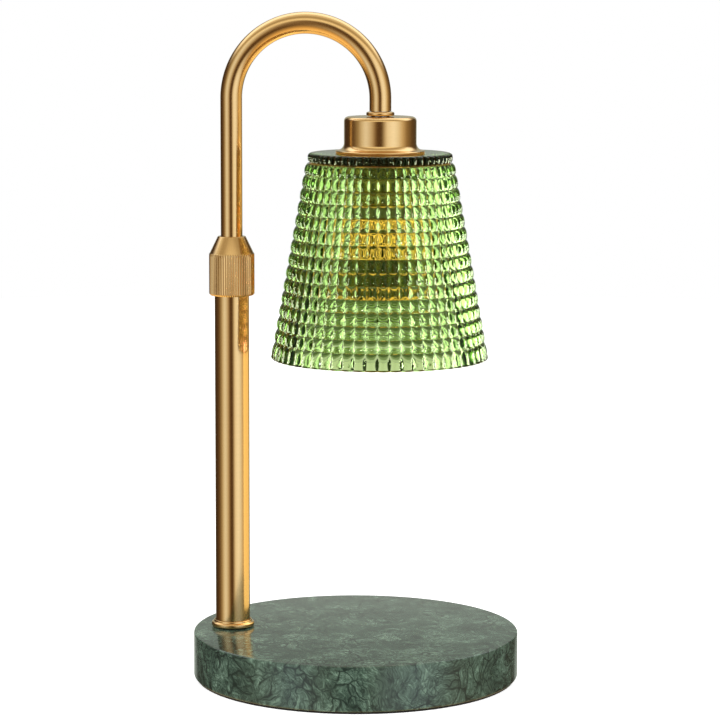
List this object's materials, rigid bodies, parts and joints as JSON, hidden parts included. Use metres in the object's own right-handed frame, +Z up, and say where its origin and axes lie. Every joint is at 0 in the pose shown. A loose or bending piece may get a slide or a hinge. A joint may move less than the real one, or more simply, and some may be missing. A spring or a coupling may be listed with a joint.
{
  "type": "candle warmer lamp",
  "caption": "Table lamp that warms a candle from above: round stone base, telescoping brass post with a knurled lock collar, hooked arm and a pressed glass shade over a reflector bulb.",
  "frame": {"origin": "centre of the base's underside, which is also the middle of the part's lowest face", "axes": "+Z up; the post stands on the -X side and the arm hooks over towards +X, so the lamp's own plane of symmetry is XZ"},
  "size_m": [0.151, 0.151, 0.3083],
  "materials": {
    "brushed_brass": "satin brushed, lacquered",
    "contact_brass": "plain",
    "zinc_steel": "zinc plated",
    "green_marble": "polished",
    "green_glass": "pressed with rows of small pillows",
    "black_foam": "matt foam",
    "white_nylon": "matt",
    "white_ceramic": "unglazed",
    "black_rubber": "matt",
    "clear_silicone": "matt, translucent",
    "lead_cover": "smooth",
    "mirror_coat": "vacuum-coated reflector",
    "clear_glass": "clear"
  },
  "bodies": {
    "post": {"foot_pad": "black_foam", "marble_base": "green_marble", "base_washer": "zinc_steel", "base_nut": "zinc_steel", "base_stud": "zinc_steel", "post_plug": "zinc_steel", "cord_gland": "black_rubber", "post_lead": "lead_cover", "post_foot_ring": "brushed_brass", "post_tube": "brushed_brass", "post_ferrule": "brushed_brass"},
    "carriage": {"guide_bush": "white_nylon"},
    "arm": {"arm_tube": "brushed_brass", "arm_lead": "lead_cover", "end_ring": "brushed_brass", "head_nipple": "zinc_steel", "head_nut": "zinc_steel", "socket_cup": "brushed_brass", "holder_sleeve": "brushed_brass", "lamp_holder": "white_ceramic", "holder_contact_1": "contact_brass", "holder_contact_2": "contact_brass", "shade_gasket": "clear_silicone", "shade_ring": "brushed_brass", "glass_shade": "green_glass"},
    "bulb": {"bulb_reflector": "mirror_coat", "bulb_lens": "clear_glass", "bulb_capsule": "clear_glass", "bulb_cap": "white_ceramic", "bulb_pin_1": "zinc_steel", "bulb_pin_2": "zinc_steel"},
    "collet": {"grip_collet": "white_nylon"},
    "collar": {"lock_collar": "brushed_brass"}
  },
  "joints": [
    {"name": "height_slide", "type": "slide", "parent": "post", "child": "carriage", "axis": [0, 0, 1], "range_m": [-0.06, 0.02]},
    {"name": "arm_swivel", "type": "hinge", "parent": "carriage", "child": "arm", "pos_m": [-0.058, 0, 0.2], "axis": [0, 0, 1], "range_deg": [-150, 150]},
    {"name": "bulb_twist", "type": "hinge", "parent": "arm", "child": "bulb", "pos_m": [0.0108, 0, 0.22], "axis": [0, 0, -1], "range_deg": [0, 30]},
    {"name": "collar_rise", "type": "slide", "parent": "post", "child": "collet", "axis": [0, 0, 1], "range_m": [0, 0.001]},
    {"name": "collar_turn", "type": "hinge", "parent": "collet", "child": "collar", "pos_m": [-0.058, 0, 0.19], "axis": [0, 0, 1], "range_deg": [-45, 450]}
  ],
  "couplings": [
    {"joint": "collar_turn", "follows": "collar_rise", "rad_per_m": 6283.2}
  ]
}
